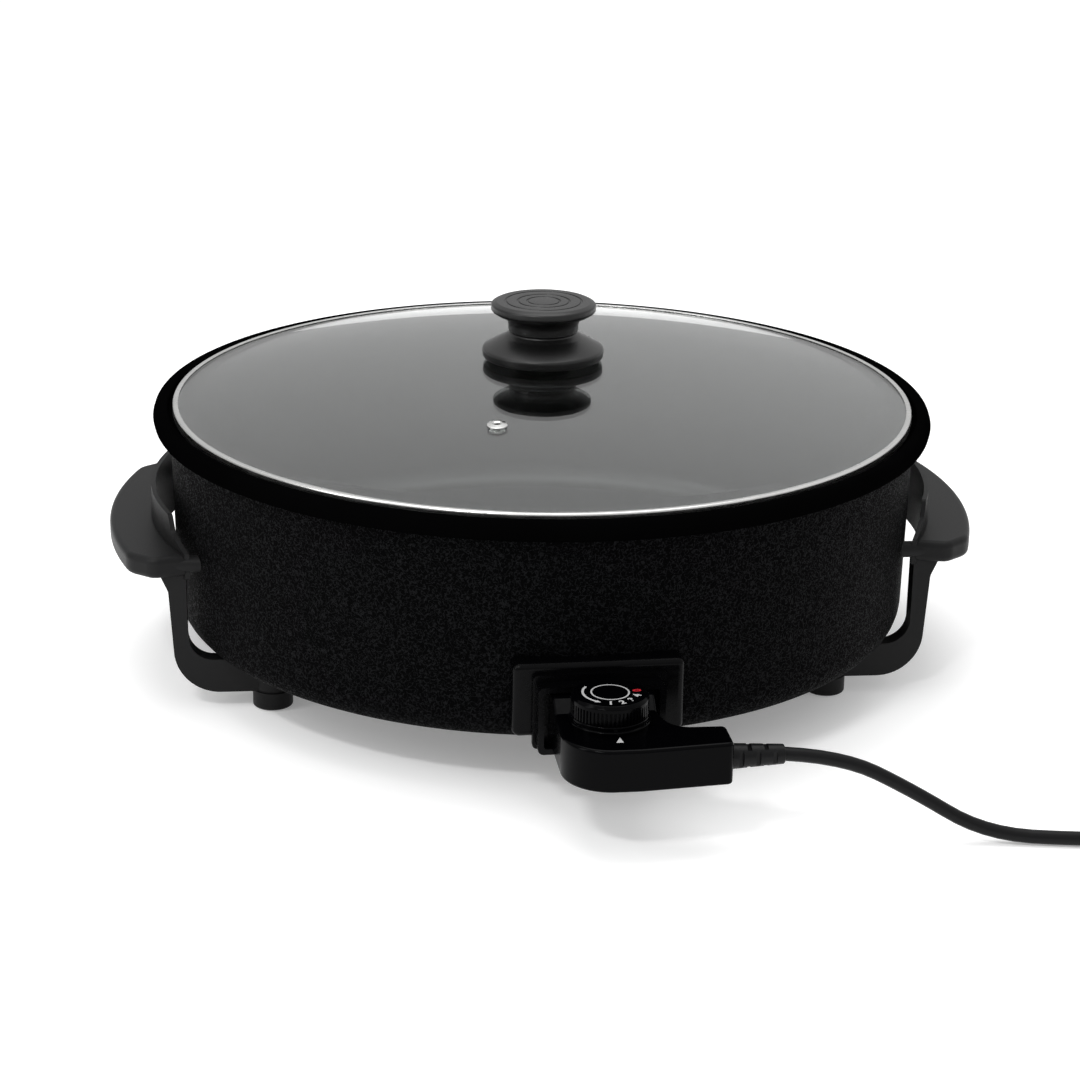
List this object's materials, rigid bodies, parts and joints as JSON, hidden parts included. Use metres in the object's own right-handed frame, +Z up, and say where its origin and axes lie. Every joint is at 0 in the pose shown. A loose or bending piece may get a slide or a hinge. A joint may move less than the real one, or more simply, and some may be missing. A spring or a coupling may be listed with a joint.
{
  "type": "electric party pan",
  "caption": "Round deep electric pan with a domed glass lid, two moulded side handles on legs, and a plug-in thermostat with a dial and a mains lead.",
  "frame": {"origin": "on the surface it stands on, under the middle of the outline without the cord; the pan's own axis stands 33.9 mm behind it", "axes": "+Z up, +X through the right handle, -Y towards the mains socket and its thermostat plug"},
  "size_m": [0.6546, 0.5125, 0.207],
  "materials": {
    "pan_coating": "cast, with a black baked coating, finely wrinkled on the wall",
    "bakelite": "matt dark grey heat-proof moulding",
    "glass": "clear tempered glass",
    "steel": "satin stainless steel",
    "screw_steel": "zinc-plated steel",
    "element_sheath": "heat-darkened steel sheath",
    "housing": "black satin moulding",
    "plug_shell": "glossy black moulding",
    "dial": "glossy black moulding with printed scale",
    "brass": "plain brass",
    "nickel": "nickel-plated brass",
    "ceramic": "unglazed ceramic",
    "silicone": "black silicone",
    "cord_jacket": "black rubber jacket",
    "tie": "black strap"
  },
  "bodies": {
    "pan": {"pan_body": "pan_coating", "heating_element": "element_sheath", "terminal_pins": "nickel", "earth_pin": "nickel", "probe_guide": "steel", "socket_insulator": "housing", "socket_shroud": "housing", "socket_cover": "housing", "socket_screws": "screw_steel", "right_handle": "bakelite", "left_handle": "bakelite", "front_left_foot": "bakelite", "front_right_foot": "bakelite", "back_left_foot": "bakelite", "back_right_foot": "bakelite", "foot_screws": "screw_steel"},
    "lid": {"lid_glass": "glass", "lid_rim": "steel", "vent_eyelet": "steel", "knob_cap": "bakelite", "knob_skirt": "bakelite", "knob_gasket": "silicone", "knob_washer": "steel", "knob_screw": "screw_steel"},
    "thermostat_plug": {"plug_upper_shell": "plug_shell", "plug_lower_shell": "plug_shell", "shell_screws": "screw_steel", "dial_collar": "dial", "spindle_bush": "brass", "switch_block": "ceramic", "bimetal_strip": "steel", "contact_springs": "brass", "probe_rod": "steel", "contact_sleeves": "brass", "earth_sleeve": "brass", "cord_clamp": "plug_shell", "strain_relief": "cord_jacket", "cord_lead": "cord_jacket", "cord_coil": "cord_jacket", "cord_tie": "tie", "mains_plug": "cord_jacket", "mains_pins": "nickel", "earth_clips": "brass"},
    "temperature_dial": {"dial": "dial", "dial_spindle": "brass"}
  },
  "joints": [
    {"name": "lid_lift", "type": "slide", "parent": "pan", "child": "lid", "axis": [0, 0, 1], "range_m": [0, 0.15]},
    {"name": "plug_pull", "type": "slide", "parent": "pan", "child": "thermostat_plug", "axis": [0, -1, 0], "range_m": [0, 0.06]},
    {"name": "dial_turn", "type": "hinge", "parent": "thermostat_plug", "child": "temperature_dial", "pos_m": [0, -0.21365, 0.07], "axis": [0, 0, 1], "range_deg": [-200, 70]}
  ]
}
